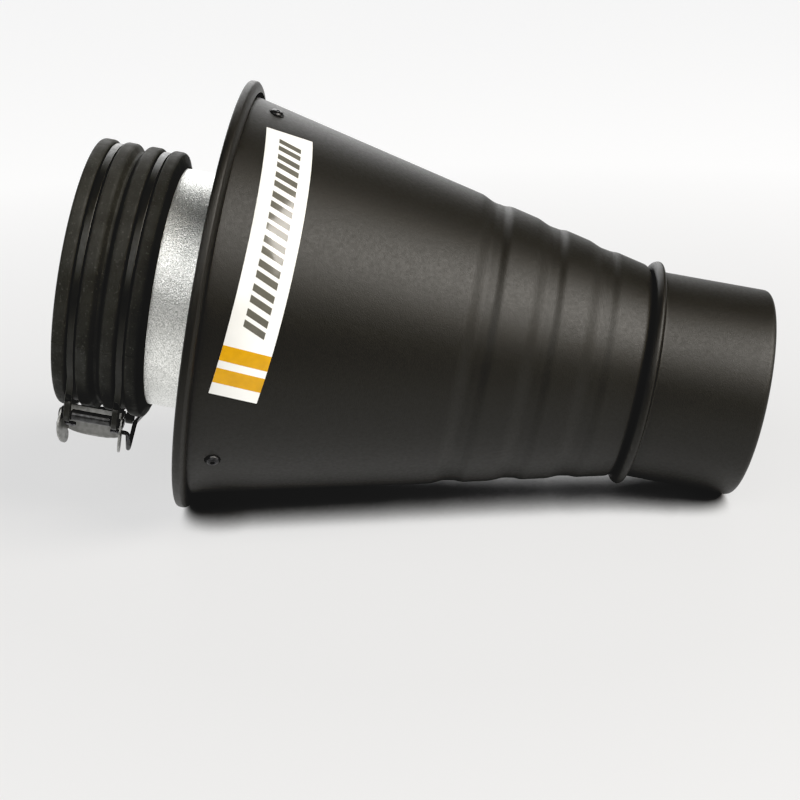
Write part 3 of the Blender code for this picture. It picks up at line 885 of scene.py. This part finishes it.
def build_pins(looks):
    """Pivot pin with its spacer, and the catch pin with the hook that the bail pulls on."""
    at = along_axis(*PIVOT, LATCH_S)
    pin = [(-14.0, 1.0), (-13.95, 1.7), (-13.8, 2.15), (-13.6, 2.25), (-13.6, PIN_R), (13.6, PIN_R),
           (13.6, 2.25), (13.8, 2.15), (13.95, 1.7), (14.0, 1.0)]
    piece("pin_pivot", [spun(pin, at, 32)], looks["pin"], "shell", ["pivot_pin"])
    reach = 0.5 * (FRONT_BAND_S - REAR_BAND_S - BAND_WIDTH) - 0.3
    sleeve = softened([(-reach, 1.7), (-reach, 2.35), (reach, 2.35), (reach, 1.7)], 0.2,
                      closed=True, steps=3)
    piece("spacer_tube", [hollow(sleeve, at, 40)], looks["pin"], "shell", ["pivot_spacer"])

    at = along_axis(*CATCH, LATCH_S)
    rod = [(-12.4, 0.9), (-12.2, 1.3), (-12.0, PIN_R), (12.0, PIN_R), (12.2, 1.3), (12.4, 0.9)]
    piece("pin_catch", [spun(rod, at, 32)], looks["pin"], "shell", ["catch_pin"])
    hook_y = CATCH[0] + 2.25
    hook = arc(CATCH, 2.25, -110.0, -360.0, 40) + [(hook_y, CATCH[1] - 2.5), (hook_y, CATCH[1] - 4.6)]
    piece("hook_plate", [ribbon(hook, band_section(LATCH_S, 16.0, 0.9))], looks["band"], "shell",
          ["catch_hook"], sharp=45.0)


# ---------------------------------------------------------------- latch

def splayed(side):
    """Placement for an ear that leans away from the middle towards its front edge."""
    def place(y, z, s):
        return across_axis(y, z, s - side * EAR_SPLAY * (y - EAR_FRONT_Y))
    return place


def channel_outline():
    """Section of the web in (s, y): a shallow channel whose flanges run into the splayed ears."""
    flange_y = -33.5
    back_y = -30.4
    outer = EAR_OUTER - EAR_SPLAY * (flange_y - EAR_FRONT_Y)
    corner = EAR_OUTER - EAR_SPLAY * (back_y - EAR_FRONT_Y)
    inner = outer - 1.0
    inner_corner = corner - 0.85
    outline = [
        (-outer, flange_y), (-corner, back_y), (corner, back_y), (outer, flange_y),
        (inner, flange_y), (inner_corner, back_y - 1.0), (-inner_corner, back_y - 1.0),
        (-inner, flange_y)]
    return softened([(LATCH_S + s, y) for s, y in outline],
                    [0.0, 1.8, 1.8, 0.0, 0.0, 0.9, 0.9, 0.0], closed=True, steps=6)


def build_lever(looks):
    """Two ears that lean outwards, joined by a web and its bowed lower edge."""
    ear = softened([(-44.1, -52.6), (-43.2, -50.2), (-41.2, -49.3), (-36.0, -50.0), (-32.0, -50.6),
                    (-31.6, -51.1), (-31.6, -62.6), (-30.2, -63.6), (-29.4, -66.0), (-29.8, -67.7),
                    (-31.4, -68.5), (-33.8, -68.2), (-38.0, -66.4), (-43.0, -62.4), (-45.2, -58.6),
                    (-45.4, -55.4)], 1.4, closed=True, steps=5)
    left = plate(ear, LATCH_S - EAR_OUTER, LATCH_S - EAR_INNER, splayed(-1.0))
    right = plate(ear, LATCH_S + EAR_INNER, LATCH_S + EAR_OUTER, splayed(1.0))
    web = plate(channel_outline(), -62.2, -50.95, stacked, bevel=0.1)
    bow = [(-11.0, -61.0), (-11.0, -62.3), (-9.0, -62.9), (-6.0, -63.4), (-2.0, -63.6)]
    belly = bow + [(-s, z) for s, z in reversed(bow)]
    apron = plate([(LATCH_S + s, z) for s, z in belly], -31.38, -30.42, facing_side, bevel=0.1)
    pin_hole = spun([(-20.0, PIN_R + 0.2), (20.0, PIN_R + 0.2)], along_axis(*PIVOT, LATCH_S), 32)
    wire_hole = spun([(-20.0, WIRE_R + 0.2), (20.0, WIRE_R + 0.2)], along_axis(*BAIL_PIVOT, LATCH_S), 24)
    piece("lever_plate", [left], looks["lever"], "lever", ["latch_lever"], sharp=30.0,
          union=[web, right, apron], holes=[pin_hole, wire_hole])


def build_bail(looks):
    leg = [BAIL_PIVOT, (-27.5, -68.7), (-17.4, -58.9), (18.5, -63.1)]
    side = [(7.8, *BAIL_PIVOT)] + [(BAIL_LEG, y, z) for y, z in leg]
    points = [Vector((LATCH_S + s, y, z)) for s, y, z in side]
    points += [Vector((LATCH_S - s, y, z)) for s, y, z in reversed(side)]
    radii = [0.0, 1.6, 2.4, 2.2, 3.0]
    path = softened(points, radii + list(reversed(radii)), closed=False, steps=10)
    piece("bail_loop", [tube(path, WIRE_R)], looks["wire"], "bail", ["bail_wire"],
          sharp=60.0)


# ---------------------------------------------------------------- cap and honeycomb

def build_cap(looks):
    bead = flowing([(244.8, 46.5), (244.95, 47.6), (245.45, 48.65), (246.3, 49.45), (247.4, 49.9),
                    (248.2, 49.95), (248.9, 49.6), (249.35, 48.8), (249.6, 47.7), (249.8, 46.6),
                    (250.4, 46.0), (252.2, 45.9)], steps=4)
    nose = [(270.0, 46.0), (290.0, 46.15), (295.6, CAP_R)]
    brow = flowing([(296.6, 46.15), (297.4, 45.85), (298.0, 45.3), (NOSE_S, 44.6), (NOSE_S, 43.4),
                    (298.2, 42.5), (297.9, 42.05), (297.5, 42.1), (297.2, 42.7), (296.9, 43.9),
                    (296.3, 44.7), (295.4, CAP_BORE_R)], steps=3)
    inside = [(CAP_START_S + 0.6, CAP_BORE_R), (CAP_START_S + 0.1, CAP_BORE_R + 0.3),
              (CAP_START_S, CAP_BORE_R + 0.8)]
    piece("cap_skin", [turned(bead + nose + brow + inside)], looks["black"], "cap",
          ["front_cap"])


def build_grid(looks):
    rim = softened([(GRID_START_S - 1.0, 43.25), (GRID_START_S - 1.0, 44.5), (GRID_END_S + 0.9, 44.5),
                    (GRID_END_S + 0.9, 43.25)], 0.3, closed=True, steps=3)
    piece("grid_ring", [turned(rim)], looks["foil"], "grid", ["grid_rim"])
    piece("grid_cells", [honeycomb()], looks["foil"], "grid", ["grid_core"], sharp=20.0)


def honeycomb_cells():
    """Outlines of the hexagon cells; those that meet the rim keep a round outer side."""
    cells = []
    corner = 0.5 * (CELL_PITCH - FOIL) / math.cos(math.pi / 6)
    rows = int(GRID_R / (CELL_PITCH * 0.75)) + 2
    for row in range(-rows, rows + 1):
        for column in range(-rows, rows + 1):
            x = CELL_PITCH * (column + 0.5 * (row % 2))
            y = CELL_PITCH * row * math.sqrt(3) / 2
            outline = [Vector((x + corner * math.cos(math.radians(30 + 60 * k)),
                               y + corner * math.sin(math.radians(30 + 60 * k)))) for k in range(6)]
            outline = clip_to_disc(outline, GRID_R - FOIL)
            if len(outline) >= 3 and polygon_area(outline) > 1.0:
                cells.append(outline)
    return cells


def honeycomb():
    """Disc pierced by the cells, pushed from the grid's start to its end."""
    points = []
    for k in range(DISC_SIDES):
        angle = 2 * math.pi * k / DISC_SIDES
        points.append(Vector((GRID_R * math.cos(angle), GRID_R * math.sin(angle))))
    loops = [list(range(DISC_SIDES))]
    for cell in honeycomb_cells():
        loops.append(list(range(len(points), len(points) + len(cell))))
        points.extend(cell)
    found = delaunay_2d_cdt(points, [], loops, 1, 1e-6)
    flat, triangles, inside = found[0], found[2], found[5]
    sheet = [tri for tri, owners in zip(triangles, inside) if owners == [0]]
    count = len(flat)
    verts = [(GRID_START_S, p.x, p.y) for p in flat] + [(GRID_END_S, p.x, p.y) for p in flat]
    faces = [tuple(tri) for tri in sheet]
    faces += [tuple(count + i for i in reversed(tri)) for tri in sheet]
    sides = {}                      # a dict, because it keeps its order
    for tri in sheet:
        for a, b in zip(tri, tri[1:] + tri[:1]):
            sides[(a, b)] = True
    for a, b in sides:
        if (b, a) not in sides:
            faces.append((b, a, count + a, count + b))
    return verts, faces


def polygon_area(outline):
    return 0.5 * abs(sum(outline[i - 1].cross(outline[i]) for i in range(len(outline))))


def clip_to_disc(outline, radius):
    """Convex outline cut back to a disc with straight sides."""
    for k in range(DISC_SIDES):
        angle = 2 * math.pi * (k + 0.5) / DISC_SIDES
        normal = Vector((math.cos(angle), math.sin(angle)))
        kept = []
        for i in range(len(outline)):
            here = outline[i]
            after = outline[(i + 1) % len(outline)]
            inside_here = here.dot(normal) - radius
            inside_after = after.dot(normal) - radius
            if inside_here <= 0:
                kept.append(here)
            if inside_here * inside_after < 0:
                kept.append(here.lerp(after, inside_here / (inside_here - inside_after)))
        outline = kept
        if len(outline) < 3:
            return []
    return outline


# ---------------------------------------------------------------- studio

def floor_material():
    """Paper with a glow of its own, which is painted light; the glow is dimmer near the snoot and gone in
    the creases under it, which is painted shadow.

    Light that the snoot gets from the glow comes from beside and behind it, not from in front; it is
    painted light that rays other than the camera's see, set by position along Y.
    """
    material = new_material("paper_with_painted_glow", (0.16, 0.16, 0.16), 0.5, specular=0.04)
    nodes = material.node_tree.nodes
    links = material.node_tree.links
    place = nodes.new("ShaderNodeTexCoord")
    length = nodes.new("ShaderNodeVectorMath")
    length.operation = 'LENGTH'
    links.new(place.outputs["Object"], length.inputs[0])
    # Painted light: the floor's own glow, dimmer near the snoot.
    glow = spread(material, length.outputs["Value"], *GLOW_REACH, FLOOR_NEAR, FLOOR_FAR)
    split = nodes.new("ShaderNodeSeparateXYZ")
    links.new(place.outputs["Object"], split.inputs["Vector"])
    # Painted light on the snoot: rays that are not the camera's see the glow scaled by Y.
    path = nodes.new("ShaderNodeLightPath")
    gain = nodes.new("ShaderNodeMix")
    links.new(path.outputs["Is Camera Ray"], gain.inputs["Factor"])
    links.new(spread(material, split.outputs["Y"], *BOUNCE_Y, 0.0, BOUNCE_GAIN), gain.inputs["A"])
    gain.inputs["B"].default_value = 1.0
    # Painted shadow: ambient occlusion takes the glow away in the creases under the snoot.
    painted_crease_shadow = nodes.new("ShaderNodeAmbientOcclusion")
    painted_crease_shadow.inputs["Distance"].default_value = CREASE_REACH
    painted_crease_shadow.samples = 16
    open_sky = spread(material, painted_crease_shadow.outputs["AO"], *CREASE_OPEN, 0.0, 1.0)
    shader = nodes["Principled BSDF"]
    shader.inputs["Emission Color"].default_value = (1.0, 1.0, 1.0, 1.0)
    strength = multiply(material, multiply(material, glow, gain.outputs["Result"]), open_sky)
    links.new(strength, shader.inputs["Emission Strength"])
    return material


def build_floor():
    mesh = bpy.data.meshes.new("floor")
    corners = [(-FLOOR_HALF, -FLOOR_HALF), (FLOOR_HALF, -FLOOR_HALF), (FLOOR_HALF, FLOOR_HALF),
               (-FLOOR_HALF, FLOOR_HALF)]
    mesh.from_pydata([(x, y, FLOOR_Z) for x, y in corners], [], [(0, 1, 2, 3)])
    mesh.materials.append(floor_material())
    floor = bpy.data.objects.new("floor", mesh)
    bpy.context.scene.collection.objects.link(floor)
    return floor


def area_light(name, azimuth, elevation, distance, width, height, radiance,
               color=(1.0, 1.0, 1.0), kept_off=None):
    """Softbox aimed at the snoot; azimuth 0 is in front of it and 90 is past its nose."""
    away = Vector((math.sin(math.radians(azimuth)) * math.cos(math.radians(elevation)),
                   -math.cos(math.radians(azimuth)) * math.cos(math.radians(elevation)),
                   math.sin(math.radians(elevation))))
    light = bpy.data.lights.new(name, 'AREA')
    light.shape = 'RECTANGLE'
    light.size = width
    light.size_y = height
    light.energy = radiance * math.pi * width * height
    light.color = color
    obj = bpy.data.objects.new(name, light)
    obj.location = Vector(LIGHT_MIDDLE) + away * distance
    obj.rotation_mode = 'QUATERNION'
    obj.rotation_quaternion = away.to_track_quat('Z', 'Y')
    bpy.context.scene.collection.objects.link(obj)
    if kept_off:
        flag = bpy.data.collections.new(name + "_flag")
        flag.objects.link(kept_off)
        flag.collection_objects[0].light_linking.link_state = 'EXCLUDE'
        obj.light_linking.receiver_collection = flag


def build_lamps(floor):
    """A softbox at the right, panels in front and at the left, and a light on the far side."""
    area_light("key_softbox", 56.0, 41.0, 2.1, 1.45, 1.2, 11.7, (1.0, 0.955, 0.89))
    area_light("front_panel", -12.0, 36.0, 2.6, 1.5, 1.8, 2.9)
    area_light("left_panel", -78.0, 22.0, 2.6, 1.3, 1.3, 3.5)
    area_light("backdrop_light", 190.0, 29.0, 3.0, 2.2, 2.3, 3.3, kept_off=floor)


def build_world():
    """A dim room with a lit backdrop low behind the snoot; the camera sees plain pale grey."""
    world = bpy.data.worlds.new("studio")
    bpy.context.scene.world = world
    world.use_nodes = True
    nodes = world.node_tree.nodes
    links = world.node_tree.links
    nodes.clear()
    place = nodes.new("ShaderNodeTexCoord")
    split = nodes.new("ShaderNodeSeparateXYZ")
    links.new(place.outputs["Generated"], split.inputs["Vector"])
    low = spread(world, split.outputs["Z"], 0.42, 0.26, 0.0, 1.0)
    behind = spread(world, split.outputs["Y"], -0.1, 0.35, 0.0, 1.0)
    strength = spread(world, multiply(world, low, behind), 0.0, 1.0, ROOM_LIGHT, BACKDROP_LIGHT)
    lit = nodes.new("ShaderNodeBackground")
    links.new(strength, lit.inputs["Strength"])
    seen = nodes.new("ShaderNodeBackground")
    seen.inputs["Color"].default_value = (0.94, 0.94, 0.945, 1.0)
    seen.inputs["Strength"].default_value = 1.0
    path = nodes.new("ShaderNodeLightPath")
    mix = nodes.new("ShaderNodeMixShader")
    links.new(path.outputs["Is Camera Ray"], mix.inputs["Fac"])
    links.new(lit.outputs["Background"], mix.inputs[1])
    links.new(seen.outputs["Background"], mix.inputs[2])
    output = nodes.new("ShaderNodeOutputWorld")
    links.new(mix.outputs["Shader"], output.inputs["Surface"])


def set_tone():
    """A print's tones: deeper shadows, with everything from a middle grey up left alone."""
    view = bpy.context.scene.view_settings
    view.view_transform = 'Standard'
    view.use_curve_mapping = True
    tone = view.curve_mapping.curves[3]
    tone.points[0].location = TONE_CURVE[0]
    for bright, printed in TONE_CURVE[1:]:
        tone.points.new(bright, printed)
    view.curve_mapping.update()


def build_camera():
    data = bpy.data.cameras.new("camera")
    data.lens = LENS
    data.sensor_width = 36.0
    data.shift_x, data.shift_y = CAMERA_SHIFT
    camera = bpy.data.objects.new("camera", data)
    bpy.context.scene.collection.objects.link(camera)
    place = Vector(CAMERA_AT)
    forward = (Vector(LOOK_AT) - place).normalized()
    right = forward.cross(Vector((0.0, 0.0, 1.0))).normalized()
    up = right.cross(forward)
    roll = math.radians(CAMERA_ROLL)
    right, up = (right * math.cos(roll) + up * math.sin(roll),
                 up * math.cos(roll) - right * math.sin(roll))
    turn = Matrix((right, up, -forward)).transposed().to_4x4()
    camera.matrix_world = Matrix.Translation(place) @ turn
    bpy.context.scene.camera = camera


def main():
    looks = {
        "black": powder_coat("black_coat", (0.0065, 0.0060, 0.0045), (0.0088, 0.0082, 0.0062), 0.53),
        "rubber": rubber_material(),
        "band": steel_material("band_steel", (0.014, 0.014, 0.011), 0.40, 0.10),
        "pin": steel_material("pin_steel", (0.050, 0.050, 0.050), 0.34, 0.7),
        "lever": steel_material("lever_steel", (0.23, 0.23, 0.22), 0.42, 0.80),
        "wire": steel_material("wire_steel", (0.060, 0.060, 0.063), 0.32, 0.8),
        "screw": steel_material("screw_steel", (0.030, 0.030, 0.031), 0.38, 0.7),
        "silver": hammertone_material(),
        "vinyl": vinyl_material(),
        "grey_ink": ink_material("grey_ink", (0.135, 0.130, 0.110)),
        "amber_ink": ink_material("amber_ink", (0.62, 0.32, 0.006)),
        "foil": foil_material(),
    }
    build_shell(looks)
    build_screws(looks)
    build_back_plate(looks)
    build_neck(looks)
    build_rivets(looks)
    build_label(looks)
    build_collar(looks)
    build_bands(looks)
    build_pins(looks)
    build_lever(looks)
    build_bail(looks)
    build_cap(looks)
    build_grid(looks)
    build_lamps(build_floor())
    build_world()
    set_tone()
    build_camera()


main()
